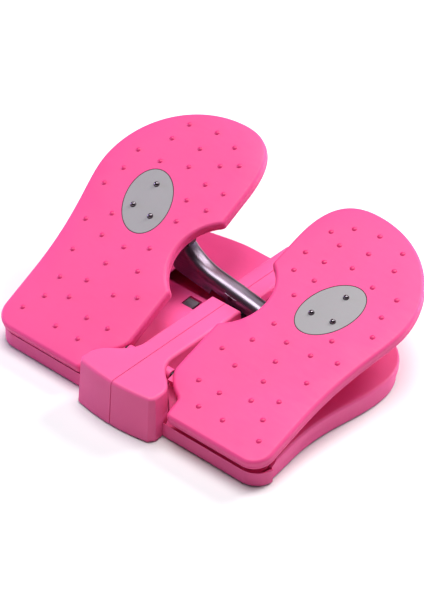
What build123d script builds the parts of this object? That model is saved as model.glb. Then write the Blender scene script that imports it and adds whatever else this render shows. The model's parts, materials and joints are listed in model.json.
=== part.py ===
from build123d import *
import math
import os

# A twin-pedal seesaw stepper. Millimetres and degrees, +Z up, +Y to the rear.
# The origin is on the floor, on the plane of symmetry, below the line where the two pedal
# tops meet. The two sides are mirror images apart from the tilt of their pedals.

# Shells
WALL = 2.5                   # moulded wall
SHELL_GAP = 0.3              # running gap between neighbouring mouldings
FOOT_HEIGHT = 2.0            # rubber below the pan
PAN_TOP = 16.0               # parting line of pan and decks
DECK_TOP = 25.6

# Base outline, right half
BASE_FRONT = 38.0            # in front of the origin
BASE_FRONT_HALF = 172.0      # half width at the front corners
BASE_CORNER = 22.0           # radius of the front corners
BASE_WAIST = 170.0           # half width where the sides draw in
BASE_WIDEST = 187.0          # half width near the rear
BASE_REAR = 228.7
DECK_EDGE_ROUND = 3.0
DECK_STEP = 1.2              # how far the pan stands in from the deck edge

# Front bar of the pan, in front of the pedals
BAR_TOP = 18.4
BAR_WALL = 3.0
BAR_PROUD = 2.0              # beyond the side wall
BAR_REAR = -18.0
BAR_CHAMFER = 2.6

# Trough that the pedal fronts dip into
TROUGH_REAR = -9.0
TROUGH_LOW = 12.2            # deck height behind the bar

# Hub and spine
HUB_FRONT = 60.2
HUB_HALF = 50.4              # half width of the block, at its foot
HUB_BACK = 38.0              # where the block starts to draw in
SPINE_HALF = 20.5            # half width of the spine, at its foot
SPINE_END = 126.5
HUB_TOP = 57.7               # height at the front
SPINE_SLOPE = 5.04           # fall of the top towards the rear
HUB_DRAFT = 2.5
HUB_ROUND = 4.0
SEAM_WIDTH = 1.0
SEAM_DEPTH = 0.8
TAIL_START = 155.5
TAIL_END = 256.0
TAIL_HALF = 19.0
TAIL_CORNER = 8.0

# Pedals, in their own frame: u outwards, v to the rear, n up from the top face
PEDAL_THICK = 15.0
PEDAL_TOP_SHELL = 8.5
PEDAL_TOP_WALL = 3.0
PEDAL_ROUND = 4.0
PEDAL_CHAMFER = 4.0
PEDAL_INNER = 29.0           # straight inner edge
PEDAL_OUTER = 174.5
PEDAL_WIDEST = 194.0
PEDAL_FRONT = 46.0
PEDAL_REAR = 275.3
PEDAL_CORNER = 22.0
PEDAL_TIP_ROUND = 6.0        # in plan, at the notch and beside the block
NOTCH_V = 119.0
NOTCH_RADIUS = 54.0          # about the plane of symmetry
TILT_LEFT = 23.81
TILT_RIGHT = 14.12

# Studs, disc and magnets on the pedal tops
STUD_RADIUS = 2.9
STUD_HEIGHT = 1.5
STUDS = (
    (79, -19), (109, -19), (154, -19),
    (59, 6), (86, 5), (118, 15), (142, 3),
    (54, 50), (78, 40), (114, 40), (142, 29),
    (73, 75), (109, 66), (151, 62),
    (79, 103), (104, 91), (134, 91), (162, 98),
    (74, 143), (141, 117), (172, 143),
    (54, 169), (80, 169), (165, 168),
    (50, 194), (74, 194), (103, 203), (135, 194), (165, 194),
    (56, 230), (74, 220), (106, 227), (141, 223),
    (74, 246), (102, 252), (135, 246),
)
DISC_CENTRE = (116.3, 147.9)
DISC_LONG = 39.0
DISC_SHORT = 26.0
DISC_TURN = -22.0            # long axis away from v, towards the outside
DISC_THICK = 2.2
GASKET_WIDTH = 1.0
MAGNET_RADIUS = 3.0
MAGNETS = ((4.0, 21.0), (11.0, -11.0), (-14.0, -13.5))

# Pedal hinge
AXLE_RADIUS = 4.0
AXLE_DEPTH = 7.5             # below the pedal top
AXLE_HALF = 87.0
RUNNING = 0.05               # radial running clearance
SLEEVE_RADIUS = 5.5
SLEEVE_START = 32.0
SLEEVE_END = 86.0
TOP_MEET = 49.0              # height of the line where the two pedal tops meet

# Steel frame
FRAME_HALF = 13.0
FRAME_HEIGHT = 19.5
FRAME_WALL = 2.5
FRAME_FRONT = -50.0
FRAME_REAR = 246.0
BAR_HEIGHT = 6.0
CROSS_FRONT = 104.0
CROSS_DEPTH = 18.0
CROSS_HALF = 150.0
TAB_SIZE = 13.0
TAB_INNER = 32.7

# Rocker
ROCKER_Y = 142.0
ROCKER_Z = 43.0
ROCKER_TILT = 10.0
ROCKER_WIDTH = 24.0
ROCKER_WALL = 2.5
ROCKER_CROWN = 8.7           # top above the pin
ROCKER_FLAT = 28.0           # half length of the level crown
ROCKER_RISE = 63.0           # radius of the rising wings
ROCKER_LAND = 66.0           # start of the level tips
ROCKER_HALF = 84.0
ROCKER_LOW = 18.8            # skirt edge below the pin
ROCKER_CORNER = 14.0
ROCKER_ROUND = 10.0
NOTCH_DROP = 5.15            # top of the skirt's notch below the pin
NOTCH_TOP_HALF = 23.7
NOTCH_FOOT_HALF = 26.4
PIN_RADIUS = 3.0
BUSH_RADIUS = 4.2
EAR_RADIUS = 5.0
EAR_WIDTH = 10.0
PIN_BOSS = 8.0
PAD_X = 74.3
PAD_Z = 28.3
PAD_RADIUS = 8.0
PAD_WIDTH = 12.0
SLOT_END = ROCKER_HALF + 4.0

# Fasteners
DECK_SCREWS = ((155, 15), (62, 40), (166, 150), (62, 200), (128, 192))
PEDAL_SCREWS = ((155, 5), (65, 48), (152, 78), (58, 205), (160, 208), (95, 243))
SCREW_RADIUS = 1.9
SCREW_HEAD = 4.0
POST_RADIUS = 5.0
SMALL_SCREW = 1.5
SMALL_HEAD = 3.0
FEET = ((150, -14), (150, 180))
FOOT_RADIUS = 10.0
END_FOOT_RADIUS = 9.0

# Values worked out from the sizes above
FLOOR_TOP = FOOT_HEIGHT + WALL
MEAN_TILT = math.radians((TILT_LEFT + TILT_RIGHT) / 2)
AXLE_Y = AXLE_DEPTH * math.sin(MEAN_TILT)
AXLE_Z = TOP_MEET - AXLE_DEPTH * math.cos(MEAN_TILT)
FRAME_TOP = FLOOR_TOP + FRAME_HEIGHT
FAR = 600.0
TALL = 120.0


def block(x0, x1, y0, y1, z0, z1):
    """A box from its six limits."""
    return Pos((x0 + x1) / 2, (y0 + y1) / 2, (z0 + z1) / 2) * Box(x1 - x0, y1 - y0, z1 - z0)


def post(x, y, z0, z1, radius):
    """A vertical cylinder."""
    return Pos(x, y, (z0 + z1) / 2) * Cylinder(radius, z1 - z0)


def bar_x(x0, x1, y, z, radius):
    """A cylinder along X."""
    return Pos((x0 + x1) / 2, y, z) * Rot(0, 90, 0) * Cylinder(radius, x1 - x0)


def bar_y(x, y0, y1, z, radius):
    """A cylinder along Y."""
    return Pos(x, (y0 + y1) / 2, z) * Rot(90, 0, 0) * Cylinder(radius, y1 - y0)


def prism_x(points, x0, x1):
    """A polygon given as (y, z) pairs, drawn out along X."""
    face = make_face(Polyline(*[(x0, y, z) for y, z in points], close=True))
    return extrude(face, amount=x1 - x0, dir=(1, 0, 0))


def layer(face, z0, z1):
    """A flat outline drawn up from z0 to z1."""
    return extrude(Pos(0, 0, z0) * face, amount=z1 - z0, dir=(0, 0, 1))


def base_half(grow=0.0, front=BASE_FRONT):
    """Right half of the base outline, its side moved outwards by grow."""
    corner = BASE_CORNER + grow
    front_x = BASE_FRONT_HALF + grow
    waist = BASE_WAIST + grow
    wide = BASE_WIDEST + grow
    rear = BASE_REAR + grow
    corner_end = (front_x, corner - front)
    waist_point = (waist, 33)
    wide_point = (wide, rear - 77)
    dip = (wide - 67, rear - 12)
    lobe = (47, rear)
    edges = [
        Line((0, -front), (front_x - corner, -front)),
        RadiusArc((front_x - corner, -front), corner_end, -corner),
        Bezier(corner_end, (front_x, 0), (waist, 18), waist_point),
        Bezier(waist_point, (waist, 83), (wide, rear - 117), wide_point),
        Bezier(wide_point, (wide, rear - 44), (wide - 22, rear - 15), dip),
        Bezier(dip, (wide - 87, rear - 10.6), (70, rear), lobe),
        Line(lobe, (0, rear)),
        Line((0, rear), (0, -front)),
    ]
    return make_face(edges)


def both(shape):
    """A right-hand shape with its mirror image, as one."""
    return shape + mirror(shape, about=Plane.YZ)


def hub_outline(inset=0.0):
    """Plan of the block and the front of the spine, at the foot."""
    half = HUB_HALF - inset
    spine = SPINE_HALF - inset
    front = inset - HUB_FRONT
    rear = SPINE_END - inset
    flare_start = (half, -HUB_BACK)
    flare_end = (spine, 16)
    edges = [
        ThreePointArc((0, front), (half / 2, front + 1.6), (half - 5, front + 5)),
        Line((half - 5, front + 5), (half, front + 12)),
        Line((half, front + 12), flare_start),
        Bezier(flare_start, (half, -12), (spine, -12), flare_end),
        Line(flare_end, (spine, rear)),
        Line((spine, rear), (0, rear)),
        Line((0, rear), (0, front)),
    ]
    return both(make_face(edges))


def tail_outline(inset=0.0):
    """Plan of the rear of the spine, at the foot."""
    half = TAIL_HALF - inset
    rear = TAIL_END - inset
    start = TAIL_START + inset
    plan = Pos(0, (start + rear) / 2) * Rectangle(2 * half, rear - start)
    corners = plan.vertices().filter_by(lambda corner: corner.Y > start + 1)
    return fillet(corners, TAIL_CORNER - inset)


def above_slope(inset=0.0):
    """Everything above the sloping top of the hub and spine."""
    fall = math.tan(math.radians(SPINE_SLOPE))
    top = HUB_TOP - inset
    front_y = -HUB_FRONT - 40
    rear_y = TAIL_END + 40
    points = [
        (front_y, top + 40 * fall),
        (rear_y, top - (rear_y + HUB_FRONT) * fall),
        (rear_y, TALL + 60),
        (front_y, TALL + 60),
    ]
    return prism_x(points, -FAR, FAR)


def spine_body(plan, inset=0.0):
    """Tapered body on a plan, cut off by the sloping top."""
    body = extrude(Pos(0, 0, FOOT_HEIGHT) * plan, amount=HUB_TOP + 4, taper=HUB_DRAFT)
    return body - above_slope(inset)


def round_top(body):
    """Round the edges of the sloping top."""
    top = body.faces().sort_by(Axis.Z)[-1]
    return fillet(top.edges(), HUB_ROUND)


def spine_shell(outline, open_below, screws):
    """The two halves of a spine moulding, with their screws between them."""
    outer = round_top(spine_body(outline()))
    core = spine_body(outline(WALL), WALL)
    shallow = spine_body(outline(SEAM_DEPTH), SEAM_DEPTH)
    seam = block(-SEAM_WIDTH / 2, SEAM_WIDTH / 2, -FAR, FAR, -FAR, FAR) - shallow
    shell = outer - core - seam - open_below
    boss_space = spine_body(outline(WALL / 2), WALL / 2)
    for y, z in screws:
        shell += bar_x(-FAR, FAR, y, z, POST_RADIUS - 1) & boss_space
    halves = []
    for side in (-1, 1):
        near, far = sorted((side * SHELL_GAP / 2, side * FAR))
        halves.append(shell & block(near, far, -FAR, FAR, -FAR, FAR))
    left, right = halves
    fixings = []
    for y, z in screws:
        head_face = -10.0
        left -= bar_x(-FAR, FAR, y, z, SMALL_SCREW + RUNNING)
        left -= bar_x(-FAR, head_face, y, z, SMALL_HEAD + RUNNING)
        right -= bar_x(-FAR, 12, y, z, SMALL_SCREW + RUNNING)
        screw = bar_x(head_face, 11, y, z, SMALL_SCREW) + bar_x(head_face - 2, head_face, y, z, SMALL_HEAD)
        fixings.append(screw)
    return left, right, fixings


def bar_lip():
    """What is chamfered off the inner top edge of the front bar, round its corners too."""
    edge = BAR_WALL - BASE_FRONT
    low = BAR_TOP - BAR_CHAMFER
    rise = BAR_CHAMFER + 1
    centre_x = BASE_FRONT_HALF - BASE_CORNER
    inner_round = BASE_CORNER - DECK_STEP - WALL
    section = [(edge + 1, low), (edge, low), (edge - rise, low + rise), (edge + 1, low + rise)]
    lip = prism_x(section, -centre_x, centre_x)
    cone = Cone(inner_round, inner_round + rise, rise)
    for side in (-1, 1):
        corner = Pos(side * centre_x, edge + inner_round, low + rise / 2) * cone
        lip += corner & block(-FAR, FAR, -FAR, BAR_REAR, 0, TALL)
    return lip


def pan():
    """Lower tray of the base, with the front bar and the screw posts."""
    outer = layer(both(base_half(-DECK_STEP)), FOOT_HEIGHT, PAN_TOP)
    bar = layer(both(base_half(BAR_PROUD)), FOOT_HEIGHT, BAR_TOP) & block(-FAR, FAR, -FAR, BAR_REAR, 0, TALL)
    inside = layer(both(base_half(-DECK_STEP - WALL, BASE_FRONT - BAR_WALL)), FLOOR_TOP, TALL)
    tray = outer + bar - inside
    tray -= bar_lip()
    tube_way = TAIL_HALF + SHELL_GAP
    tray -= block(-tube_way, tube_way, BASE_REAR - 12, FAR, FLOOR_TOP, TALL)
    footprint = hub_outline(-SHELL_GAP)
    tray -= layer(footprint, 0, TALL) & block(-FAR, FAR, -FAR, -HUB_BACK + 26.4, 0, TALL)
    for side in (-1, 1):
        for x, y in DECK_SCREWS:
            tray += post(side * x, y, FLOOR_TOP, PAN_TOP, POST_RADIUS)
            tray -= post(side * x, y, 0, TALL, SCREW_RADIUS + RUNNING)
            tray -= post(side * x, y, 0, FLOOR_TOP + 1, SCREW_HEAD + RUNNING)
    return tray


def deck_section(drop):
    """Side profile of the deck, lowered by drop, with the trough at the front."""
    front = -BASE_FRONT + BAR_WALL + SHELL_GAP
    return [
        (front - 5, TROUGH_LOW - 2.6 - drop * 1.1),
        (TROUGH_REAR, DECK_TOP - drop * 1.1),
        (TROUGH_REAR + 1, DECK_TOP - drop),
        (FAR, DECK_TOP - drop),
    ]


def deck():
    """Right-hand upper shell of the base."""
    front = BASE_FRONT - BAR_WALL - SHELL_GAP
    outline = base_half()
    tongue = base_half(-DECK_STEP - WALL - SHELL_GAP, front)
    body = layer(outline, PAN_TOP, DECK_TOP) - block(-FAR, FAR, -FAR, BAR_REAR + SHELL_GAP, 0, TALL)
    top = body.faces().filter_by(Axis.Z).sort_by(Axis.Z)[-1]
    rim = top.edges().filter_by(lambda edge: edge.center().X > BASE_CORNER and edge.center().Y > 0)
    body = fillet(rim, DECK_EDGE_ROUND)
    nose = layer(tongue, TROUGH_LOW - 2, DECK_TOP) & block(-FAR, FAR, -FAR, BAR_REAR + 3, 0, TALL)
    body += nose
    body -= prism_x(deck_section(0) + [(FAR, TALL), (-FAR, TALL), (-FAR, TROUGH_LOW - 2.6)], -FAR, FAR)
    hollow_plan = base_half(-WALL - BAR_WALL, front - WALL)
    hollow = layer(hollow_plan, 0, DECK_TOP)
    hollow -= prism_x(deck_section(WALL) + [(FAR, TALL), (-FAR, TALL), (-FAR, 0)], -FAR, FAR)
    body -= hollow
    for x, y in DECK_SCREWS:
        body += post(x, y, PAN_TOP, DECK_TOP - WALL + 0.5, POST_RADIUS)
        body -= post(x, y, PAN_TOP - 1, PAN_TOP + 4.5, SCREW_RADIUS + RUNNING)
    body -= layer(hub_outline(-SHELL_GAP), 0, TALL)
    body -= layer(tail_outline(-SHELL_GAP), 0, TALL)
    body -= block(-FAR, FRAME_HALF + 1, -FAR, FAR, 0, TALL)
    rocker_front = ROCKER_Y - ROCKER_WIDTH / 2 - 0.8
    rocker_rear = ROCKER_Y + ROCKER_WIDTH / 2 + 0.8
    body -= block(0, SLOT_END, rocker_front, rocker_rear, 0, TALL)
    window_front = CROSS_FRONT + (CROSS_DEPTH - TAB_SIZE) / 2 + 1.4
    body -= block(
        TAB_INNER - 2.7, TAB_INNER + TAB_SIZE + 0.7, window_front, window_front + TAB_SIZE + 2.7, 0, TALL
    )
    return body


def cross_bar():
    """Right-hand flat bar from the frame to the pan's side, with a tab up to the deck window."""
    rear = CROSS_FRONT + CROSS_DEPTH
    flat = block(FRAME_HALF, CROSS_HALF, CROSS_FRONT, rear, FLOOR_TOP, FLOOR_TOP + BAR_HEIGHT)
    tab_front = CROSS_FRONT + (CROSS_DEPTH - TAB_SIZE) / 2 + 2
    tab = block(
        TAB_INNER, TAB_INNER + TAB_SIZE, tab_front, tab_front + TAB_SIZE, FLOOR_TOP, DECK_TOP - 0.8
    )
    return flat + tab


def frame_tube():
    """Central rectangular tube."""
    outside = block(-FRAME_HALF, FRAME_HALF, FRAME_FRONT, FRAME_REAR, FLOOR_TOP, FRAME_TOP)
    wall = FRAME_WALL
    bore = block(
        wall - FRAME_HALF, FRAME_HALF - wall, -FAR, FAR, FLOOR_TOP + wall, FRAME_TOP - wall
    )
    return outside - bore


def axle_bracket():
    """Fork on the frame that carries the pedal axle."""
    plate = block(-FRAME_HALF, FRAME_HALF, AXLE_Y - 12, AXLE_Y + 12, FRAME_TOP, FRAME_TOP + 3)
    fork = plate
    ear_out = FRAME_HALF - 0.5
    for side in (-1, 1):
        x0, x1 = sorted((side * (ear_out - 3.5), side * ear_out))
        ear = block(x0, x1, AXLE_Y - 6, AXLE_Y + 6, FRAME_TOP, AXLE_Z)
        ear += bar_x(x0, x1, AXLE_Y, AXLE_Z, 6)
        fork += ear
    return fork - bar_x(-FAR, FAR, AXLE_Y, AXLE_Z, AXLE_RADIUS)


def axle_collars():
    """Two collars that keep the axle from sliding."""
    rings = []
    for side in (-1, 1):
        x0, x1 = sorted((side * 5.0, side * (FRAME_HALF - 4)))
        ring = bar_x(x0, x1, AXLE_Y, AXLE_Z, AXLE_RADIUS + 2.5) - bar_x(x0, x1, AXLE_Y, AXLE_Z, AXLE_RADIUS)
        rings.append(ring)
    return Compound(children=rings)


def rocker_bracket():
    """Bearing block on the frame that carries the rocker pin."""
    half = EAR_WIDTH / 2
    foot = 11.0
    plan = [(-foot, FRAME_TOP), (foot, FRAME_TOP), (EAR_RADIUS, ROCKER_Z), (-EAR_RADIUS, ROCKER_Z)]
    face = make_face(Polyline(*[(x, ROCKER_Y - half, z) for x, z in plan], close=True))
    ear = extrude(face, amount=EAR_WIDTH, dir=(0, 1, 0))
    ear += bar_y(0, ROCKER_Y - half, ROCKER_Y + half, ROCKER_Z, EAR_RADIUS)
    return ear - bar_y(0, 0, FAR, ROCKER_Z, BUSH_RADIUS)


def rocker_top(drop):
    """Upper line of the rocker, lowered by drop, from the left tip to the right tip."""
    crown = ROCKER_CROWN - drop
    radius = ROCKER_RISE + drop
    flat = ROCKER_FLAT
    run = ROCKER_LAND - flat - drop
    angle = math.asin(run / radius)
    land = crown + radius * (1 - math.cos(angle))
    middle = angle / 2
    end = ROCKER_HALF - drop
    lines = [Line((end, land), (flat + run, land))]
    right_mid = (flat + radius * math.sin(middle), crown + radius * (1 - math.cos(middle)))
    lines.append(ThreePointArc((flat + run, land), right_mid, (flat, crown)))
    lines.append(Line((flat, crown), (-flat, crown)))
    left_mid = (-right_mid[0], right_mid[1])
    lines.append(ThreePointArc((-flat, crown), left_mid, (-flat - run, land)))
    lines.append(Line((-flat - run, land), (-end, land)))
    return lines, end, land


def rocker_face(drop):
    """Side profile of the rocker, or of its hollow when drop is a wall."""
    lines, end, land = rocker_top(drop)
    if drop:
        low = -TALL
        lines += [Line((-end, land), (-end, low)), Line((-end, low), (end, low)), Line((end, low), (end, land))]
        return make_face(lines)
    low = -ROCKER_LOW
    corner = ROCKER_CORNER
    right = [
        Line((end, low + corner), (end, land)),
        RadiusArc((end - corner, low), (end, low + corner), -corner),
        Line((NOTCH_FOOT_HALF, low), (end - corner, low)),
        Line((NOTCH_TOP_HALF, -NOTCH_DROP), (NOTCH_FOOT_HALF, low)),
    ]
    left = [
        Line((-end, low + corner), (-end, land)),
        RadiusArc((-end, low + corner), (corner - end, low), -corner),
        Line((-NOTCH_FOOT_HALF, low), (corner - end, low)),
        Line((-NOTCH_TOP_HALF, -NOTCH_DROP), (-NOTCH_FOOT_HALF, low)),
    ]
    notch = [Line((-NOTCH_TOP_HALF, -NOTCH_DROP), (NOTCH_TOP_HALF, -NOTCH_DROP))]
    return make_face(lines + right + left + notch)


def rocker_prism(drop):
    """Rocker profile given its width, with the long top edges rounded."""
    half = ROCKER_WIDTH / 2 - drop
    upright = Rot(90, 0, 0) * rocker_face(drop)
    body = extrude(Pos(0, half, 0) * upright, amount=2 * half, dir=(0, -1, 0))
    limit = ROCKER_CROWN - drop - 0.5

    def is_top(edge):
        middle = edge.center()
        along = abs(edge.tangent_at(0.5).Y) < 0.5
        return along and middle.Z > limit and abs(abs(middle.Y) - half) < 0.01

    return fillet(body.edges().filter_by(is_top), ROCKER_ROUND - drop)


def place_rocker(shape):
    """From the rocker's own frame to its rest position."""
    return Pos(0, ROCKER_Y, ROCKER_Z) * Rot(0, ROCKER_TILT, 0) * shape


def rocker_pieces():
    """The rocker arm and its two glide pads, in the rocker's own frame."""
    solid = rocker_prism(0)
    half = ROCKER_WIDTH / 2
    arm = solid - rocker_prism(ROCKER_WALL)
    for y0 in (-half, half - ROCKER_WALL):
        arm += bar_y(0, y0, y0 + ROCKER_WALL, 0, PIN_BOSS) - layer(
            Rectangle(2 * FAR, 2 * FAR), ROCKER_CROWN - 6, TALL
        )
    arm -= bar_y(0, -FAR, FAR, 0, PIN_RADIUS)
    pads = []
    for side in (-1, 1):
        x = side * PAD_X
        pad = block(x - PAD_RADIUS, x + PAD_RADIUS, -PAD_WIDTH / 2, PAD_WIDTH / 2, 8, PAD_Z)
        pad += bar_y(x, -PAD_WIDTH / 2, PAD_WIDTH / 2, PAD_Z, PAD_RADIUS)
        pads.append(pad - solid)
    return arm, pads


def pedal_outline(inset=0.0):
    """Plan of the right pedal, in u and v."""
    inner = PEDAL_INNER + inset
    outer = PEDAL_OUTER - inset
    wide = PEDAL_WIDEST - inset
    rear = PEDAL_REAR - inset
    front = inset - PEDAL_FRONT
    corner = PEDAL_CORNER - inset
    notch = NOTCH_RADIUS + inset
    bite = math.sqrt(notch**2 - inner**2)
    side_start = (outer, front + corner)
    side_end = (outer, 20)
    widest = (wide, 168)
    toe = (inner + 53, rear)
    toe_end = (inner, 205)
    front_inner = (57 + inset, front)
    nose_start = (55 + inset, -22)
    nose_end = (inner, 9)
    edges = [
        Line(side_start, side_end),
        Bezier(side_end, (outer, 98), (wide, 138), widest),
        Bezier(widest, (wide, rear - 48), (wide - 50, rear), toe),
        Bezier(toe, (inner + 17, rear), (inner, rear - 22), toe_end),
        Line(toe_end, (inner, NOTCH_V + bite)),
        ThreePointArc((inner, NOTCH_V + bite), (notch, NOTCH_V), (inner, NOTCH_V - bite)),
        Line((inner, NOTCH_V - bite), nose_end),
        Bezier(nose_end, (inner, -5 + inset / 2), (43 + inset / 2, -16 + inset / 2), nose_start),
        Line(nose_start, front_inner),
        Line(front_inner, (outer - corner, front)),
        RadiusArc((outer - corner, front), side_start, -corner),
    ]
    plan = make_face(edges)
    tips = [(inner, NOTCH_V - bite), (inner, NOTCH_V + bite), front_inner]
    corners = [plan.vertices().sort_by_distance((u, v, 0))[0] for u, v in tips]
    plan = fillet(corners, PEDAL_TIP_ROUND - inset)
    bend = plan.vertices().sort_by_distance((*nose_start, 0))[0]
    return fillet(bend, PEDAL_TIP_ROUND + inset)


def disc_plan(grow=0.0):
    """Oval of the inlaid disc."""
    oval = Ellipse(DISC_SHORT + grow, DISC_LONG + grow)
    return Pos(*DISC_CENTRE) * Rot(0, 0, DISC_TURN) * oval


def magnet(du, dv):
    """One domed magnet, standing in the disc."""
    u = DISC_CENTRE[0] + du
    v = DISC_CENTRE[1] + dv
    dome = Pos(u, v, 0.2) * Sphere(MAGNET_RADIUS) & post(u, v, 0, 5, MAGNET_RADIUS + 1)
    return post(u, v, -DISC_THICK, 0.2, MAGNET_RADIUS) + dome


def pedal_top(plan, core_plan):
    """Top shell of the pedal with its studs, disc recess and hinge seat."""
    body = layer(plan, -PEDAL_TOP_SHELL, 0)
    rim = body.faces().sort_by(Axis.Z)[-1].edges()
    body = fillet(rim, PEDAL_ROUND)
    body -= layer(core_plan, -PEDAL_TOP_SHELL - 1, -PEDAL_TOP_WALL)
    body += layer(disc_plan(5), -PEDAL_TOP_SHELL, -PEDAL_TOP_WALL)
    body += block(PEDAL_INNER + 2, SLEEVE_END + 4, -9, 9, -PEDAL_TOP_SHELL, -PEDAL_TOP_WALL)
    for u, v in PEDAL_SCREWS:
        body += post(u, v, -PEDAL_TOP_SHELL, -PEDAL_TOP_WALL, POST_RADIUS - 1)
        body -= post(u, v, -TALL, -PEDAL_TOP_WALL - 1, SMALL_SCREW + RUNNING)
    body -= layer(disc_plan(GASKET_WIDTH), -DISC_THICK, 5)
    cap = (STUD_RADIUS**2 + STUD_HEIGHT**2) / (2 * STUD_HEIGHT)
    dome = Pos(0, 0, STUD_HEIGHT - cap) * Sphere(cap) & block(-9, 9, -9, 9, -0.4, 9)
    body += [Pos(u, v, 0) * dome for u, v in STUDS]
    return body - hinge_seat()


def pedal_tray(plan, core_plan):
    """Bottom shell of the pedal."""
    body = layer(plan, -PEDAL_THICK, -PEDAL_TOP_SHELL)
    rim = body.faces().sort_by(Axis.Z)[0].edges()
    body = chamfer(rim, PEDAL_CHAMFER)
    floor = -PEDAL_THICK + WALL
    body -= layer(core_plan, floor, 0)
    body += block(PEDAL_INNER + 4, SLEEVE_END + 4, -9, 9, floor, -PEDAL_TOP_SHELL)
    for u, v in PEDAL_SCREWS:
        body += post(u, v, floor, -PEDAL_TOP_SHELL, POST_RADIUS - 1)
        body -= post(u, v, -TALL, 0, SMALL_SCREW + RUNNING)
        body -= post(u, v, -TALL, -PEDAL_THICK + 2, SMALL_HEAD + RUNNING)
    body -= wear_strip()
    return body - hinge_seat()


def hinge_seat():
    """Space for the hinge sleeve and the axle, in a pedal."""
    seat = bar_x(SLEEVE_START, SLEEVE_END, 0, -AXLE_DEPTH, SLEEVE_RADIUS)
    return seat + bar_x(0, SLEEVE_END + 2, 0, -AXLE_DEPTH, AXLE_RADIUS + 0.4)


def hinge_sleeve():
    """Tube that turns on the axle."""
    tube = bar_x(SLEEVE_START, SLEEVE_END, 0, -AXLE_DEPTH, SLEEVE_RADIUS)
    return tube - bar_x(0, FAR, 0, -AXLE_DEPTH, AXLE_RADIUS + RUNNING)


def wear_strip():
    """Strip let into the tray where the rocker's pad slides."""
    return block(58, 92, NOTCH_V + 3, NOTCH_V + 42, -PEDAL_THICK, -PEDAL_THICK + 1)


def pedal_screws():
    """Screws that hold the tray to the top shell."""
    seat = -PEDAL_THICK + 2
    group = []
    for u, v in PEDAL_SCREWS:
        shank = post(u, v, seat, -PEDAL_TOP_WALL - 1.5, SMALL_SCREW)
        group.append(shank + post(u, v, seat - 1.6, seat, SMALL_HEAD))
    return Compound(children=group)


def pedal_pieces():
    """Every piece of the right pedal, in the pedal's own frame."""
    plan = pedal_outline()
    core_plan = pedal_outline(WALL)
    disc = layer(disc_plan(), -DISC_THICK, 0)
    gasket = layer(disc_plan(GASKET_WIDTH), -DISC_THICK, -0.5) - layer(disc_plan(), -DISC_THICK, 1)
    magnets = [magnet(du, dv) for du, dv in MAGNETS]
    for du, dv in MAGNETS:
        disc -= post(DISC_CENTRE[0] + du, DISC_CENTRE[1] + dv, -DISC_THICK, 1, MAGNET_RADIUS)
    return {
        "pedal_top": pedal_top(plan, core_plan),
        "pedal_tray": pedal_tray(plan, core_plan),
        "pedal_disc": disc,
        "pedal_disc_gasket": gasket,
        "pedal_magnets": Compound(children=magnets),
        "pedal_hinge_sleeve": hinge_sleeve(),
        "pedal_wear_strip": wear_strip(),
        "pedal_screws": pedal_screws(),
    }


def place_pedal(shape, side, tilt):
    """From the pedal's own frame to its rest position on the axle."""
    turned = Pos(0, AXLE_Y, AXLE_Z) * Rot(tilt, 0, 0) * Pos(0, 0, AXLE_DEPTH) * shape
    return mirror(turned, about=Plane.YZ) if side == "left" else turned


def deck_screws():
    """Screws from below that hold the right deck to the pan."""
    seat = FLOOR_TOP + 1
    group = []
    for x, y in DECK_SCREWS:
        shank = post(x, y, seat, PAN_TOP + 4, SCREW_RADIUS)
        group.append(shank + post(x, y, seat - 2.4, seat, SCREW_HEAD))
    return Compound(children=group)


def feet():
    """Rubber feet under the pan and under both ends of the frame."""
    pads = [post(side * x, y, 0, FOOT_HEIGHT, FOOT_RADIUS) for side in (-1, 1) for x, y in FEET]
    pads.append(post(0, 0, 0, FOOT_HEIGHT, END_FOOT_RADIUS))
    for y in (FRAME_FRONT + 11, FRAME_REAR - 7):
        pads.append(post(0, y, 0, FLOOR_TOP, END_FOOT_RADIUS))
    return Compound(children=pads)


def hub_opening():
    """What the hub mouldings leave open for the pan, the cross bars, the tube and the axle."""
    over_pan = block(-FAR, FAR, -HUB_BACK + 26, BASE_REAR + 1, -FAR, FLOOR_TOP + 0.1)
    bars = block(
        -FAR, FAR, CROSS_FRONT - 0.3, CROSS_FRONT + CROSS_DEPTH + 0.3, -FAR, FLOOR_TOP + BAR_HEIGHT + 0.3
    )
    gap = FRAME_HALF + SHELL_GAP
    over_tube = block(-gap, gap, -HUB_BACK, FRAME_REAR + 1, -FAR, FRAME_TOP + SHELL_GAP)
    axle = bar_x(-FAR, FAR, AXLE_Y, AXLE_Z, AXLE_RADIUS + SHELL_GAP)
    return over_pan + bars + over_tube + axle


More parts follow.
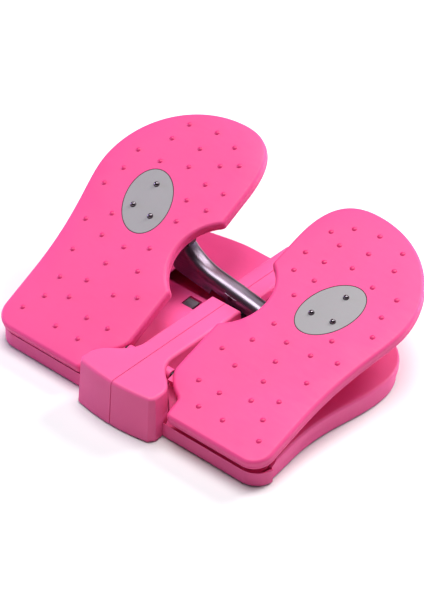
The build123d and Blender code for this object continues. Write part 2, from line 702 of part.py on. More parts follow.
def build():
    """Every node of the stepper by name."""
    nodes = {}
    nodes["base_pan"] = pan()
    right_deck = deck()
    nodes["deck_right"] = right_deck
    nodes["deck_left"] = mirror(right_deck, about=Plane.YZ)
    hub_left, hub_right, hub_screws = spine_shell(hub_outline, hub_opening(), ((36, 35), (84, 33)))
    tail_left, tail_right, tail_screws = spine_shell(tail_outline, hub_opening(), ((180, 29.5), (215, 28.5)))
    nodes["hub_cover_left"] = hub_left
    nodes["hub_cover_right"] = hub_right
    nodes["tail_cover_left"] = tail_left
    nodes["tail_cover_right"] = tail_right
    nodes["cover_screws"] = Compound(children=hub_screws + tail_screws)
    nodes["frame_tube"] = frame_tube()
    bar = cross_bar()
    nodes["cross_bar_right"] = bar
    nodes["cross_bar_left"] = mirror(bar, about=Plane.YZ)
    nodes["axle_bracket"] = axle_bracket()
    nodes["pedal_axle"] = bar_x(-AXLE_HALF, AXLE_HALF, AXLE_Y, AXLE_Z, AXLE_RADIUS)
    nodes["axle_collars"] = axle_collars()
    nodes["rocker_bracket"] = rocker_bracket()
    bush = bar_y(0, ROCKER_Y - EAR_WIDTH / 2, ROCKER_Y + EAR_WIDTH / 2, ROCKER_Z, BUSH_RADIUS)
    nodes["rocker_bush"] = bush - bar_y(0, 0, FAR, ROCKER_Z, PIN_RADIUS + RUNNING)
    nodes["rubber_feet"] = feet()
    right_screws = deck_screws()
    nodes["deck_screws_right"] = right_screws
    nodes["deck_screws_left"] = mirror(right_screws, about=Plane.YZ)
    arm, pads = rocker_pieces()
    nodes["rocker_arm"] = place_rocker(arm)
    nodes["rocker_pad_left"] = place_rocker(pads[0])
    nodes["rocker_pad_right"] = place_rocker(pads[1])
    half = ROCKER_WIDTH / 2
    nodes["rocker_pin"] = bar_y(0, ROCKER_Y - half, ROCKER_Y + half, ROCKER_Z, PIN_RADIUS)
    for name, piece in pedal_pieces().items():
        nodes[name + "_right"] = place_pedal(piece, "right", TILT_RIGHT)
        nodes[name + "_left"] = place_pedal(piece, "left", TILT_LEFT)
    return nodes


os.makedirs("parts", exist_ok=True)
for name, shape in build().items():
    export_step(shape, "parts/" + name + ".step")
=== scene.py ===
"""Finishes, small fittings and stage for a twin-pedal stepper."""

import json
import math

import bmesh
import bpy
from bpy.props import FloatProperty, FloatVectorProperty, IntProperty, PointerProperty
from bpy.types import Operator, Panel, PropertyGroup
from mathutils import Matrix, Vector

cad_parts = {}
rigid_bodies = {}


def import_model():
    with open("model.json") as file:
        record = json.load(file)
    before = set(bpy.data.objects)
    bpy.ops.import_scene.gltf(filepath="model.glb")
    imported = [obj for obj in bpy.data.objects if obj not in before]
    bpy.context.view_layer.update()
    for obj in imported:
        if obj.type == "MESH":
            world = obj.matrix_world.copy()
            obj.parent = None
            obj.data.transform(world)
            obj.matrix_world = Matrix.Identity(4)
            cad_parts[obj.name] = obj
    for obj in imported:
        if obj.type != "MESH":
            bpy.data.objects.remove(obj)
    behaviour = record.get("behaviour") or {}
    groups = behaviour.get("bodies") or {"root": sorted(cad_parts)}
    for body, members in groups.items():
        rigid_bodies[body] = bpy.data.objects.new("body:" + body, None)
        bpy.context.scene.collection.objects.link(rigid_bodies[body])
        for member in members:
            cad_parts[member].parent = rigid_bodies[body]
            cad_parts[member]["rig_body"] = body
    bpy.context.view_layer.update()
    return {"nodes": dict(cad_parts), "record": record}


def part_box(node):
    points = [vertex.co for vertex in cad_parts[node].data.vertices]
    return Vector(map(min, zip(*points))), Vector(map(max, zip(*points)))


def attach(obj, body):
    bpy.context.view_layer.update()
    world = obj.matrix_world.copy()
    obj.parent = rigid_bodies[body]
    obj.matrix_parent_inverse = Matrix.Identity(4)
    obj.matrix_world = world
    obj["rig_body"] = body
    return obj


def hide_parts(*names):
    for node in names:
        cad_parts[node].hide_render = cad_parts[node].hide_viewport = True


bl_info = {
    "name": "Twin-Pedal Stepper",
    "version": (1, 0, 0),
    "blender": (4, 5, 0),
    "location": "View3D > Sidebar > Stepper",
    "description": "Builds the looks of a twin-pedal stepper round its packed frame",
    "category": "Object",
}

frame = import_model()

# Sizes and places that aren't for the user to change
MM = 0.001
SIDES = ("left", "right")
PEDAL_TILT = {"left": math.radians(23.81), "right": math.radians(14.12)}
AXLE_BELOW_TOP = 7.5 * MM
STUD_START = 0.03 * MM       # above the pedal's top
SHARP_ANGLE = math.radians(32)
WELD = 0.002 * MM            # corners nearer than this are one

BEAD_BELOW_AXLE = 0.9 * MM
BEAD_STEP = 1.2 * MM         # least distance between two points of a bead's path
BEAD_SIDES = 6

SLEEVE_START_SHARE = 0.45    # of the distance to the pedal's inner edge
SLEEVE_RIM_SHARE = 0.12      # of the sleeve's radius
SLEEVE_CLEARANCE = 0.5 * MM

FOOT_RIM = 0.5 * MM
FOOT_SEGMENTS = 40
FOOT_PITCH_SHARE = 0.7       # of the radius, shared by the grooves
GROOVE_OFFSET = 0.6          # from the rim to the first groove, in pitches
GROOVE_WIDTH = 0.3           # in pitches

DRIVE_SLOT_SHARE = 0.28      # width of a cross drive's slot, in arm lengths
DRIVE_DEPTH = 0.3 * MM
DECK_DRIVE_SCALE = 1.3

MAGNET_RING_RADIUS = 3.0 * MM
MAGNET_RING_THICK = 0.35 * MM

FLOOR_HALF = 12.0
LIGHT_AIM = (0, 0.1, 0.05)
OVERHEAD_SPREAD = math.radians(36)
OVERHEAD_TURN = (math.radians(-3), math.radians(-5), 0)

SMOOTH_NODES = (
    "base_pan", "deck_left", "deck_right", "hub_cover_left", "hub_cover_right",
    "tail_cover_left", "tail_cover_right", "rocker_arm", "pedal_top_left", "pedal_top_right",
    "pedal_tray_left", "pedal_tray_right", "pedal_disc_left", "pedal_disc_right",
    "pedal_magnets_left", "pedal_magnets_right", "pedal_axle", "rocker_pad_left", "rocker_pad_right",
)


# Sizes and colours

def colour_property(name, text, default):
    """A colour of a finish, in linear values."""
    return FloatVectorProperty(
        name=name, description=text, subtype="COLOR", size=3, min=0, max=1, default=default
    )


def length_property(name, text, default):
    """A length in metres."""
    return FloatProperty(
        name=name, description=text, subtype="DISTANCE", unit="LENGTH", min=0, default=default
    )


def angle_property(name, text, default):
    """An angle, given in degrees."""
    return FloatProperty(name=name, description=text, subtype="ANGLE", default=math.radians(default))


def number_property(name, text, default, high=1000.0):
    """A plain number."""
    return FloatProperty(name=name, description=text, min=0, max=high, default=default)


class StepperPlastics(PropertyGroup):
    pedal: colour_property("Pedals", "Colour of the pedal shells", (0.8, 0.066, 0.255))
    cover: colour_property("Covers", "Colour of the block and the spine", (0.8, 0.098, 0.29))
    base: colour_property("Base", "Colour of the pan and the decks", (0.78, 0.085, 0.28))
    # Painted shade: the studs get a darker copy of the pedal plastic, standing for the shade of the small
    # studs
    stud_shade: colour_property("Studs", "Colour of the studs on the pedals", (0.7, 0.03, 0.17))
    disc: colour_property("Discs", "Colour of the oval inlays", (0.3, 0.285, 0.3))
    grain: length_property("Grain", "Size of the moulded grain", 0.9 * MM)
    roughness: number_property("Roughness", "Mean roughness of the plastic", 0.5, 1.0)


class StepperMetals(PropertyGroup):
    # Partly the rocker's own dark steel colour, partly painted reflection: its violet cast stands for the
    # pink plastic mirrored in it
    rocker: colour_property("Rocker", "Colour of the rocker's steel", (0.2, 0.165, 0.21))
    bar: colour_property("Bars", "Colour of the cross bars", (0.2, 0.17, 0.2))
    bright: colour_property("Bright", "Colour of the screws", (0.42, 0.42, 0.44))
    # Painted shade: the axle, its sleeves and pin are made near black so they stand for the shaded recess
    # beside the block
    axle: colour_property("Axle", "Colour of the oiled axle, sleeves and pin", (0.07, 0.05, 0.06))
    paint: colour_property("Paint", "Colour of the frame's paint", (0.03, 0.03, 0.035))
    brass: colour_property("Brass", "Colour of the bushes", (0.58, 0.36, 0.12))
    brushing: length_property("Brushing", "Width of the brushed lines", 0.35 * MM)


class StepperFittings(PropertyGroup):
    bead: length_property("Bead", "Radius of the bead on the pedal's parting line", 0.3 * MM)
    sleeve: length_property("Axle sleeve", "Radius of the sleeves round the axle", 5.9 * MM)
    drive: length_property("Drive", "Arm length of a screw's cross drive", 1.5 * MM)
    foot_grooves: IntProperty(
        name="Foot grooves", description="Grooves turned in a foot", default=2, min=0, max=5
    )


class StepperStage(PropertyGroup):
    place: FloatVectorProperty(
        name="Camera", description="Place of the camera", subtype="TRANSLATION", size=3,
        default=(1.1463, -1.4038, 1.6874),
    )
    azimuth: angle_property("Azimuth", "Heading of the camera", 37.32)
    elevation: angle_property("Elevation", "Angle it looks down", 40.7)
    roll: angle_property("Roll", "Turn about its own axis", 2.49)
    lens: number_property("Lens", "Focal length in millimetres", 146.5)
    overhead: number_property("Overhead", "Strength of the overhead light", 3.25)
    fill_left: number_property("Left fill", "Power of the violet light on the left", 9.0)
    fill_right: number_property("Right fill", "Power of the low light behind on the right", 3.6)
    strip_rear: number_property("Rear light", "Power of the high light behind", 20.4)
    surround: number_property("Surround", "Strength of the light all round", 0.06)
    floor: colour_property("Floor", "Colour of the floor", (0.82, 0.82, 0.82))


# Node trees

def new_tree(name):
    """An empty node material with its output and shader, joined."""
    material = bpy.data.materials.new(name + "_finish")
    material.use_nodes = True
    tree = material.node_tree
    tree.nodes.clear()
    output = tree.nodes.new("ShaderNodeOutputMaterial")
    shader = tree.nodes.new("ShaderNodeBsdfPrincipled")
    tree.links.new(shader.outputs["BSDF"], output.inputs["Surface"])
    return material, tree, shader


def add(tree, kind, **values):
    """A node with the given input values."""
    made = tree.nodes.new(kind)
    for key, value in values.items():
        made.inputs[key.replace("_", " ")].default_value = value
    return made


def object_coordinates(tree, stretch=(1, 1, 1)):
    """Object coordinates through a Mapping node."""
    source = tree.nodes.new("ShaderNodeTexCoord")
    mapping = add(tree, "ShaderNodeMapping", Scale=stretch)
    tree.links.new(source.outputs["Object"], mapping.inputs["Vector"])
    return mapping.outputs["Vector"]


def noise(tree, vector, scale, detail=4.0, roughness=0.5):
    """A noise pattern's value."""
    made = add(tree, "ShaderNodeTexNoise", Scale=scale, Detail=detail, Roughness=roughness)
    tree.links.new(vector, made.inputs["Vector"])
    return made.outputs["Fac"]


def spread(tree, value, low, high, start=0.3, end=0.7):
    """A value mapped from start..end to low..high."""
    made = add(tree, "ShaderNodeMapRange", From_Min=start, From_Max=end, To_Min=low, To_Max=high)
    tree.links.new(value, made.inputs["Value"])
    return made.outputs["Result"]


def blend_colours(tree, factor, first, second):
    """Two colours mixed by a value."""
    made = tree.nodes.new("ShaderNodeMix")
    made.data_type = "RGBA"
    made.inputs[6].default_value = (*first, 1)
    made.inputs[7].default_value = (*second, 1)
    tree.links.new(factor, made.inputs[0])
    return made.outputs[2]


def bump(tree, shader, height, distance, strength):
    """A height pattern on the shader's normal, over any that is there."""
    made = add(tree, "ShaderNodeBump", Strength=strength, Distance=distance)
    tree.links.new(height, made.inputs["Height"])
    for link in list(shader.inputs["Normal"].links):
        tree.links.new(link.from_socket, made.inputs["Normal"])
    tree.links.new(made.outputs["Normal"], shader.inputs["Normal"])


def scaled(colour, factor):
    """A colour made lighter or darker."""
    return tuple(min(1.0, part * factor) for part in colour)


def moulded_plastic(name, colour, grain, roughness):
    """Satin injection moulding: fine grain, faint flow clouds and handling scuffs."""
    material, tree, shader = new_tree(name)
    place = object_coordinates(tree)
    clouds = noise(tree, place, 14.0, 3.0)
    tint = spread(tree, clouds, 0.0, 1.0, 0.25, 0.75)
    shade = blend_colours(tree, tint, scaled(colour, 0.95), scaled(colour, 1.04))
    tree.links.new(shade, shader.inputs["Base Color"])
    scuffs = noise(tree, object_coordinates(tree, (1, 5, 1)), 60.0, 6.0, 0.65)
    tree.links.new(spread(tree, scuffs, roughness - 0.06, roughness + 0.08), shader.inputs["Roughness"])
    bump(tree, shader, noise(tree, place, 1 / grain, 2.0), 0.03 * MM, 0.5)
    bump(tree, shader, clouds, 0.25 * MM, 0.15)
    shader.inputs["IOR"].default_value = 1.4
    shader.inputs["Subsurface Weight"].default_value = 0.06
    shader.inputs["Subsurface Radius"].default_value = (0.6, 0.18, 0.3)
    shader.inputs["Subsurface Scale"].default_value = 4 * MM
    return material


def rubber(name, colour):
    """Matt rubber with dust and a pebbled skin."""
    material, tree, shader = new_tree(name)
    place = object_coordinates(tree)
    dust = spread(tree, noise(tree, place, 40.0, 5.0), 0.0, 1.0, 0.4, 0.8)
    tree.links.new(blend_colours(tree, dust, colour, scaled(colour, 2.2)), shader.inputs["Base Color"])
    tree.links.new(spread(tree, noise(tree, place, 120.0), 0.7, 0.9), shader.inputs["Roughness"])
    bump(tree, shader, noise(tree, place, 900.0, 2.0), 0.08 * MM, 0.6)
    return material


def brushed_metal(name, colour, line, along, roughness):
    """Metal with lines drawn along one axis, and faint smears."""
    material, tree, shader = new_tree(name)
    stretch = [1.0, 1.0, 1.0]
    stretch[along] = 0.02
    lines = noise(tree, object_coordinates(tree, stretch), 1 / line, 3.0, 0.6)
    smears = noise(tree, object_coordinates(tree), 25.0, 4.0)
    tree.links.new(
        blend_colours(tree, spread(tree, lines, 0, 1), scaled(colour, 0.85), scaled(colour, 1.15)),
        shader.inputs["Base Color"],
    )
    tree.links.new(spread(tree, smears, roughness - 0.05, roughness + 0.08), shader.inputs["Roughness"])
    bump(tree, shader, lines, 0.02 * MM, 0.5)
    shader.inputs["Metallic"].default_value = 1.0
    shader.inputs["Anisotropic"].default_value = 0.4
    return material


def painted_steel(name, colour):
    """Powder coat with its orange peel."""
    material, tree, shader = new_tree(name)
    place = object_coordinates(tree)
    peel = noise(tree, place, 500.0, 2.0)
    shade = spread(tree, noise(tree, place, 18.0), 0.0, 1.0)
    tree.links.new(blend_colours(tree, shade, colour, scaled(colour, 1.5)), shader.inputs["Base Color"])
    tree.links.new(spread(tree, peel, 0.38, 0.52), shader.inputs["Roughness"])
    bump(tree, shader, peel, 0.06 * MM, 0.5)
    return material


def finishes():
    """Every finish by the name of its slot, and the studs' own darker copy of the pedal plastic, which is
    painted shade.
    """
    plastic = bpy.context.scene.stepper_plastics
    metal = bpy.context.scene.stepper_metals
    grain = plastic.grain
    satin = plastic.roughness
    line = metal.brushing
    return {
        "pedal_plastic": moulded_plastic("pedal_plastic", plastic.pedal, grain, satin),
        # painted shade: darker copy of the pedal plastic for the studs
        "stud_plastic": moulded_plastic("stud_plastic", plastic.stud_shade, grain, satin - 0.05),
        "base_plastic": moulded_plastic("base_plastic", plastic.base, grain, satin),
        "cover_plastic": moulded_plastic("cover_plastic", plastic.cover, grain, satin),
        "disc_plastic": moulded_plastic("disc_plastic", plastic.disc, grain * 0.5, 0.38),
        "gasket_rubber": rubber("gasket_rubber", (0.03, 0.025, 0.03)),
        "magnet_chrome": brushed_metal("magnet_chrome", (0.16, 0.14, 0.16), line, 2, 0.18),
        # dark steel whose violet cast is partly painted reflection of the pink plastic
        "rocker_steel": brushed_metal("rocker_steel", metal.rocker, line, 0, 0.36),
        "frame_paint": painted_steel("frame_paint", metal.paint),
        "bar_steel": brushed_metal("bar_steel", metal.bar, line, 0, 0.42),
        # painted shade: the axle's near-black colour stands for the shaded recess beside the block
        "axle_steel": brushed_metal("axle_steel", metal.axle, line, 1, 0.35),
        "screw_steel": brushed_metal("screw_steel", metal.bright, line, 2, 0.3),
        "bush_brass": brushed_metal("bush_brass", metal.brass, line, 0, 0.3),
        "glide_nylon": moulded_plastic("glide_nylon", (0.02, 0.02, 0.022), grain, 0.35),
        "foot_rubber": rubber("foot_rubber", (0.018, 0.018, 0.018)),
    }


# Pieces

def node_slot(node):
    """The material slot of a CAD node."""
    for entry in frame["record"]["subparts"]:
        if entry["node"] == node:
            return entry["material_slot"]
    raise RuntimeError("no material slot for " + node)


def node_body(node):
    """The body that a CAD node rides on."""
    return frame["nodes"][node]["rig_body"]


def merged_copy(node):
    """A CAD node's mesh as a bmesh with its corners joined."""
    shape = bmesh.new()
    shape.from_mesh(frame["nodes"][node].data)
    bmesh.ops.remove_doubles(shape, verts=shape.verts, dist=WELD)
    return shape


def piece(name, shape, slot, body):
    """A bmesh made into a piece that rides on a body."""
    mesh = bpy.data.meshes.new(name)
    shape.to_mesh(mesh)
    shape.free()
    made = bpy.data.objects.new(name, mesh)
    bpy.context.scene.collection.objects.link(made)
    mesh.materials.append(bpy.data.materials[slot + "_finish"])
    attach(made, body)
    return made


def islands(shape):
    """The separate solids of a bmesh, as lists of vertices."""
    seen = set()
    groups = []
    for start in shape.verts:
        if start in seen:
            continue
        seen.add(start)
        group = [start]
        for vert in group:
            for edge in vert.link_edges:
                other = edge.other_vert(vert)
                if other not in seen:
                    seen.add(other)
                    group.append(other)
        groups.append(group)
    return groups


def pedal_normal(side):
    """The way a pedal's top faces at rest."""
    tilt = PEDAL_TILT[side]
    return Vector((0, -math.sin(tilt), math.cos(tilt)))


def axle_place():
    """The middle of the pedals' axle."""
    low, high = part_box("pedal_axle")
    return (Vector(low) + Vector(high)) / 2


def pedal_level(side):
    """How far up its own normal a pedal's top lies."""
    return axle_place().dot(pedal_normal(side)) + AXLE_BELOW_TOP


def turn_to(way):
    """The turn that takes +Z to a direction."""
    return Vector((0, 0, 1)).rotation_difference(way).to_matrix().to_4x4()


def middle_of(verts):
    """The mean place of some vertices."""
    return sum((vert.co for vert in verts), Vector()) / len(verts)


class STEPPER_OT_finish_nodes(Operator):
    """Give every sub-part of the frame its finish"""

    bl_idname = "stepper.finish_nodes"
    bl_label = "Finish Sub-parts"

    def execute(self, context):
        made = finishes()
        for name, node in frame["nodes"].items():
            node.data.materials.clear()
            node.data.materials.append(made[node_slot(name)])
        return {"FINISHED"}


class STEPPER_OT_smooth_shells(Operator):
    """Make the visible mouldings with smooth faces and crisp edges"""

    bl_idname = "stepper.smooth_shells"
    bl_label = "Smooth Shells"

    def execute(self, context):
        for node in SMOOTH_NODES:
            shape = merged_copy(node)
            bmesh.ops.dissolve_degenerate(shape, dist=WELD / 2, edges=shape.edges)
            for face in shape.faces:
                face.smooth = True
            for edge in shape.edges:
                edge.smooth = edge.is_manifold and edge.calc_face_angle(math.pi) < SHARP_ANGLE
            studded = node.startswith("pedal_top")
            if studded:
                self.mark_shaded_studs(shape, node.rsplit("_", 1)[1])
            made = piece(node + "_shell", shape, node_slot(node), node_body(node))
            if studded:
                made.data.materials.append(bpy.data.materials["stud_plastic_finish"])
            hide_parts(node)
        return {"FINISHED"}

    def mark_shaded_studs(self, shape, side):
        """Give the faces that stand above a pedal's top the second finish: a darker copy of the pedal
        plastic, painted as the studs' shade.
        """
        normal = pedal_normal(side)
        start = pedal_level(side) + STUD_START
        for face in shape.faces:
            if face.calc_center_median().dot(normal) > start:
                face.material_index = 1


class STEPPER_OT_axle_sleeves(Operator):
    """Close the axle in between the spine and the pedals"""

    bl_idname = "stepper.axle_sleeves"
    bl_label = "Axle Sleeves"

    def execute(self, context):
        place = axle_place()
        radius = context.scene.stepper_fittings.sleeve
        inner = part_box("pedal_tray_right")[0][0]
        start = inner * SLEEVE_START_SHARE
        length = inner - SLEEVE_CLEARANCE - start
        for side, sign in zip(SIDES, (-1, 1)):
            centre = Vector((sign * (start + length / 2), place.y, place.z))
            shape = bmesh.new()
            bmesh.ops.create_cone(
                shape, cap_ends=True, segments=48, radius1=radius, radius2=radius, depth=length,
                matrix=Matrix.Translation(centre) @ Matrix.Rotation(math.pi / 2, 4, "Y"),
            )
            ends = [face for face in shape.faces if len(face.verts) > 4]
            rims = [edge for face in ends for edge in face.edges]
            bmesh.ops.bevel(
                shape, geom=rims, offset=radius * SLEEVE_RIM_SHARE, offset_type="OFFSET", affect="EDGES",
                segments=3, profile=0.5, material=-1,
            )
            for face in shape.faces:
                face.smooth = len(face.verts) == 4
            piece("axle_sleeve_" + side, shape, "base_plastic", "base")
        return {"FINISHED"}


class STEPPER_OT_parting_beads(Operator):
    """Run a fine bead round each pedal where its two shells meet"""

    bl_idname = "stepper.parting_beads"
    bl_label = "Parting Beads"

    def execute(self, context):
        radius = context.scene.stepper_fittings.bead
        for side in SIDES:
            shape = self.bead(self.outline(side), radius)
            piece("parting_bead_" + side, shape, "pedal_plastic", "pedal_" + side)
        return {"FINISHED"}

    def outline(self, side):
        """The points of a pedal's outer outline where its shells meet."""
        normal = pedal_normal(side)
        shape = merged_copy("pedal_top_" + side)
        bmesh.ops.bisect_plane(
            shape, geom=shape.verts[:] + shape.edges[:] + shape.faces[:], dist=1e-7,
            plane_co=axle_place() - normal * BEAD_BELOW_AXLE, plane_no=normal,
            clear_inner=True, clear_outer=True,
        )
        points = self.walk(max(islands(shape), key=self.width))
        shape.free()
        return points

    def width(self, group):
        """How far a loop reaches across."""
        across = [vert.co.x for vert in group]
        return max(across) - min(across)

    def walk(self, group):
        """A loop's points in turn, without those too close to the last."""
        points = [group[0].co.copy()]
        last = None
        here = group[0]
        for _ in group[1:]:
            ahead = [edge.other_vert(here) for edge in here.link_edges]
            following = next(vert for vert in ahead if vert is not last)
            last, here = here, following
            if (here.co - points[-1]).length > BEAD_STEP:
                points.append(here.co.copy())
        return points

    def bead(self, points, radius):
        """A round bead along a closed loop of points."""
        curve = bpy.data.curves.new("bead_path", "CURVE")
        curve.dimensions = "3D"
        curve.bevel_depth = radius
        curve.bevel_resolution = BEAD_SIDES // 2 - 2
        spline = curve.splines.new("POLY")
        spline.points.add(len(points) - 1)
        for knot, point in zip(spline.points, points):
            knot.co = (*point, 1)
        spline.use_cyclic_u = True
        path = bpy.data.objects.new("bead_path", curve)
        mesh = bpy.data.meshes.new_from_object(path)
        shape = bmesh.new()
        shape.from_mesh(mesh)
        bmesh.ops.recalc_face_normals(shape, faces=shape.faces)
        bpy.data.objects.remove(path)
        bpy.data.curves.remove(curve)
        bpy.data.meshes.remove(mesh)
        return shape


class STEPPER_OT_feet(Operator):
    """Turn the rubber feet with grooves and a rounded rim"""

    bl_idname = "stepper.feet"
    bl_label = "Rubber Feet"

    def execute(self, context):
        grooves = context.scene.stepper_fittings.foot_grooves
        source = merged_copy("rubber_feet")
        shape = bmesh.new()
        for group in islands(source):
            low = Vector([min(vert.co[axis] for vert in group) for axis in range(3)])
            high = Vector([max(vert.co[axis] for vert in group) for axis in range(3)])
            self.turn(shape, (low + high) / 2, (high.x - low.x) / 2, low.z, high.z, grooves)
        source.free()
        bmesh.ops.recalc_face_normals(shape, faces=shape.faces)
        made = piece("turned_feet", shape, "foot_rubber", "base")
        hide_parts("rubber_feet")
        return {"FINISHED"}

    def turn(self, shape, centre, radius, bottom, top, grooves):
        """One foot, spun round its own axis."""
        land = bottom + FOOT_RIM
        profile = [(0.0, top), (radius, top), (radius, land), (radius - FOOT_RIM, bottom)]
        pitch = radius * FOOT_PITCH_SHARE / (grooves + 1)
        width = pitch * GROOVE_WIDTH
        reach = radius - FOOT_RIM - pitch * GROOVE_OFFSET
        for _ in range(grooves):
            profile += [(reach, bottom), (reach - width / 2, land), (reach - width, bottom)]
            reach -= pitch
        profile.append((0.0, bottom))
        verts = [shape.verts.new((centre.x + r, centre.y, z)) for r, z in profile]
        edges = [shape.edges.new(pair) for pair in zip(verts, verts[1:])]
        bmesh.ops.spin(
            shape, geom=verts + edges, cent=(centre.x, centre.y, 0), axis=(0, 0, 1),
            angle=math.tau, steps=FOOT_SEGMENTS, use_merge=True, use_duplicate=False,
        )
        bmesh.ops.remove_doubles(shape, verts=shape.verts, dist=WELD)


class STEPPER_OT_screw_drives(Operator):
    """Set a dark cross in the head of every screw, painted as the shade inside its cross drive"""

    bl_idname = "stepper.screw_drives"
    bl_label = "Screw Drives"

    def execute(self, context):
        arm = context.scene.stepper_fittings.drive
        down = Vector((0, 0, -1))
        for side in SIDES:
            self.mark("pedal_screws_" + side, -pedal_normal(side), arm, "pedal_" + side)
            self.mark("deck_screws_" + side, down, arm * DECK_DRIVE_SCALE, "base")
        return {"FINISHED"}

    def mark(self, node, way, arm, body):
        """Dark crosses on the head faces of one node's screws, painted shade of the drive recesses."""
        source = merged_copy(node)
        shape = bmesh.new()
        slot = arm * DRIVE_SLOT_SHARE
        for group in islands(source):
            middle = middle_of(group)
            face = max(vert.co.dot(way) for vert in group)
            place = Matrix.Translation(middle + way * (face - middle.dot(way))) @ turn_to(way)
            for half_length, half_width in ((arm, slot), (slot, arm)):
                size = Matrix.Diagonal((half_length * 2, half_width * 2, DRIVE_DEPTH, 1))
                bmesh.ops.create_cube(shape, size=1, matrix=place @ size)
        source.free()
        # near-black crosses stand for the shade inside each drive recess
        piece(node + "_drives", shape, "foot_rubber", body)


class STEPPER_OT_magnet_rings(Operator):
    """Seat each domed magnet in a fine dark ring"""

    bl_idname = "stepper.magnet_rings"
    bl_label = "Magnet Rings"

    def execute(self, context):
        for side in SIDES:
            normal = pedal_normal(side)
            level = pedal_level(side)
            source = merged_copy("pedal_magnets_" + side)
            shape = bmesh.new()
            for group in islands(source):
                middle = middle_of(group)
                centre = middle + normal * (level - middle.dot(normal))
                place = Matrix.Translation(centre) @ turn_to(normal)
                self.ring(shape, place, MAGNET_RING_RADIUS, MAGNET_RING_THICK)
            source.free()
            bmesh.ops.recalc_face_normals(shape, faces=shape.faces)
            piece("magnet_rings_" + side, shape, "gasket_rubber", "pedal_" + side)
        return {"FINISHED"}

    def ring(self, shape, place, radius, thick):
        """A fine round ring, spun about the place's Z."""
        made = bmesh.ops.create_circle(
            shape, cap_ends=False, radius=thick, segments=8,
            matrix=place @ Matrix.Translation((radius, 0, 0)) @ Matrix.Rotation(math.pi / 2, 4, "X"),
        )
        verts = made["verts"]
        edges = list(dict.fromkeys(edge for vert in verts for edge in vert.link_edges))
        bmesh.ops.spin(
            shape, geom=verts + edges, cent=place.translation, axis=place.to_3x3() @ Vector((0, 0, 1)),
            angle=math.tau, steps=32, use_merge=True, use_duplicate=False,
        )
        for face in shape.faces:
            face.smooth = True


# Stage

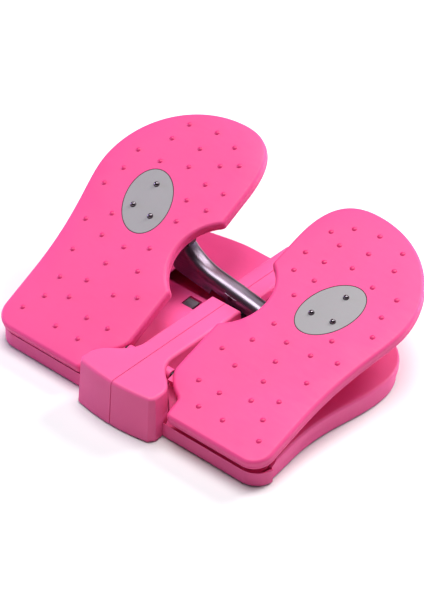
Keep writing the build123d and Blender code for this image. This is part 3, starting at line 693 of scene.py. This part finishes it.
class STEPPER_OT_stage(Operator):
    """Set the floor, the lights and the camera"""

    bl_idname = "stepper.stage"
    bl_label = "Stage"

    def execute(self, context):
        stage = context.scene.stepper_stage
        self.floor(stage)
        self.lights(stage)
        self.camera(stage)
        return {"FINISHED"}

    def floor(self, stage):
        """A wide pale floor."""
        shape = bmesh.new()
        bmesh.ops.create_grid(shape, x_segments=1, y_segments=1, size=FLOOR_HALF)
        mesh = bpy.data.meshes.new("floor")
        shape.to_mesh(mesh)
        shape.free()
        made = bpy.data.objects.new("floor", mesh)
        bpy.context.scene.collection.objects.link(made)
        material, tree, shader = new_tree("floor_paper")
        mottle = spread(tree, noise(tree, object_coordinates(tree), 3.0), 0, 1)
        pale = tuple(stage.floor)
        tree.links.new(blend_colours(tree, mottle, pale, scaled(pale, 0.985)), shader.inputs["Base Color"])
        shader.inputs["Roughness"].default_value = 0.9
        shader.inputs["Specular IOR Level"].default_value = 0.1
        mesh.materials.append(material)

    def area(self, name, place, size, power, colour):
        """A square light aimed at the stepper."""
        light = bpy.data.lights.new(name, "AREA")
        light.size = size
        light.energy = power
        light.color = colour
        made = bpy.data.objects.new(name, light)
        made.location = place
        aim = Vector(LIGHT_AIM) - Vector(place)
        made.rotation_euler = aim.to_track_quat("-Z", "Y").to_euler()
        bpy.context.scene.collection.objects.link(made)

    def lights(self, stage):
        """A broad overhead light, a fill on each side, a rear light and a dim surround."""
        light = bpy.data.lights.new("overhead", "SUN")
        light.energy = stage.overhead
        light.angle = OVERHEAD_SPREAD
        made = bpy.data.objects.new("overhead", light)
        made.rotation_euler = OVERHEAD_TURN
        bpy.context.scene.collection.objects.link(made)
        self.area("fill_left", (-1.3, -0.2, 0.22), 0.4, stage.fill_left, (0.62, 0.5, 1.0))
        self.area("fill_right", (0.5, 0.85, 0.14), 0.2, stage.fill_right, (0.85, 0.72, 1.0))
        self.area("strip_rear", (0.42, 1.25, 1.25), 0.6, stage.strip_rear, (1, 0.98, 0.95))
        world = bpy.data.worlds.new("surround")
        world.use_nodes = True
        background = world.node_tree.nodes["Background"]
        background.inputs["Color"].default_value = (0.8, 0.72, 0.85, 1)
        background.inputs["Strength"].default_value = stage.surround
        bpy.context.scene.world = world
        bpy.context.scene.view_settings.view_transform = "Standard"

    def camera(self, stage):
        """The camera, with its own slight roll."""
        data = bpy.data.cameras.new("camera")
        data.lens = stage.lens
        data.sensor_width = 36
        data.dof.use_dof = False
        made = bpy.data.objects.new("camera", data)
        heading = Matrix.Rotation(stage.azimuth, 4, "Z")
        tip = Matrix.Rotation(math.pi / 2 - stage.elevation, 4, "X")
        roll = Matrix.Rotation(stage.roll, 4, "Z")
        made.matrix_world = Matrix.Translation(stage.place) @ heading @ tip @ roll
        bpy.context.scene.collection.objects.link(made)
        bpy.context.scene.camera = made


GROUPS = (
    ("stepper_plastics", StepperPlastics),
    ("stepper_metals", StepperMetals),
    ("stepper_fittings", StepperFittings),
    ("stepper_stage", StepperStage),
)
OPERATORS = (
    STEPPER_OT_finish_nodes,
    STEPPER_OT_smooth_shells,
    STEPPER_OT_axle_sleeves,
    STEPPER_OT_parting_beads,
    STEPPER_OT_feet,
    STEPPER_OT_screw_drives,
    STEPPER_OT_magnet_rings,
    STEPPER_OT_stage,
)


class STEPPER_PT_panel(Panel):
    """Sizes, colours and steps of the stepper"""

    bl_label = "Stepper"
    bl_idname = "STEPPER_PT_panel"
    bl_space_type = "VIEW_3D"
    bl_region_type = "UI"
    bl_category = "Stepper"

    def draw(self, context):
        for name, group in GROUPS:
            box = self.layout.box()
            for prop in group.__annotations__:
                box.prop(getattr(context.scene, name), prop)
        for operator in OPERATORS:
            self.layout.operator(operator.bl_idname)


def register():
    """Add the property groups, the operators and the panel."""
    for name, group in GROUPS:
        bpy.utils.register_class(group)
        setattr(bpy.types.Scene, name, PointerProperty(type=group))
    for operator in OPERATORS:
        bpy.utils.register_class(operator)
    bpy.utils.register_class(STEPPER_PT_panel)


def unregister():
    """Take them away again."""
    bpy.utils.unregister_class(STEPPER_PT_panel)
    for operator in reversed(OPERATORS):
        bpy.utils.unregister_class(operator)
    for name, group in reversed(GROUPS):
        delattr(bpy.types.Scene, name)
        bpy.utils.unregister_class(group)


def main():
    """Build every piece and the stage."""
    register()
    bpy.ops.stepper.finish_nodes()
    bpy.ops.stepper.smooth_shells()
    bpy.ops.stepper.axle_sleeves()
    bpy.ops.stepper.parting_beads()
    bpy.ops.stepper.feet()
    bpy.ops.stepper.screw_drives()
    bpy.ops.stepper.magnet_rings()
    bpy.ops.stepper.stage()


if __name__ == "__main__":
    main()
